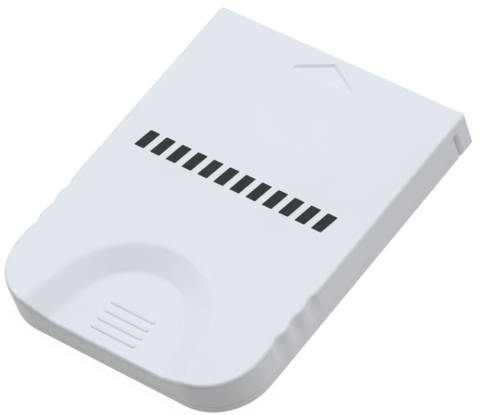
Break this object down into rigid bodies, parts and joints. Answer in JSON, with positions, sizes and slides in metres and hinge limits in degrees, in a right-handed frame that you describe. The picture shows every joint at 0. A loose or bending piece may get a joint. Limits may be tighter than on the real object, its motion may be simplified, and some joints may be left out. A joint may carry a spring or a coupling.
{
  "type": "console memory card",
  "caption": "Flat plug-in memory card for a games console: two plastic shells around a circuit board, with a dished thumb recess, side grips and a contact mouth.",
  "frame": {"origin": "middle of the underside", "axes": "+X across the card, +Y towards the insertion end, +Z out of the top face"},
  "size_m": [0.0414, 0.0524, 0.0058],
  "materials": {
    "shell_plastic": "cool white moulded plastic, satin, very fine texture",
    "board_laminate": "green solder mask over glass laminate",
    "contact_gold": "thin gold plating",
    "chip_epoxy": "black moulded epoxy",
    "tinned_lead": "tinned",
    "capacitor_ceramic": "fired ceramic, tan",
    "resistor_ceramic": "glazed black on ceramic"
  },
  "bodies": {
    "root": {"top_shell": "shell_plastic", "bottom_shell": "shell_plastic", "circuit_board": "board_laminate", "memory_chip_body": "chip_epoxy", "memory_chip_leads": "tinned_lead", "controller_chip_body": "chip_epoxy", "controller_chip_leads": "tinned_lead", "contact_01": "contact_gold", "contact_02": "contact_gold", "contact_03": "contact_gold", "contact_04": "contact_gold", "contact_05": "contact_gold", "contact_06": "contact_gold", "contact_07": "contact_gold", "contact_08": "contact_gold", "contact_09": "contact_gold", "contact_10": "contact_gold", "contact_11": "contact_gold", "contact_12": "contact_gold", "capacitor_01": "capacitor_ceramic", "capacitor_02": "capacitor_ceramic", "capacitor_03": "capacitor_ceramic", "capacitor_04": "capacitor_ceramic", "resistor_01": "resistor_ceramic", "resistor_02": "resistor_ceramic", "resistor_03": "resistor_ceramic", "resistor_04": "resistor_ceramic"}
  },
  "joints": []
}
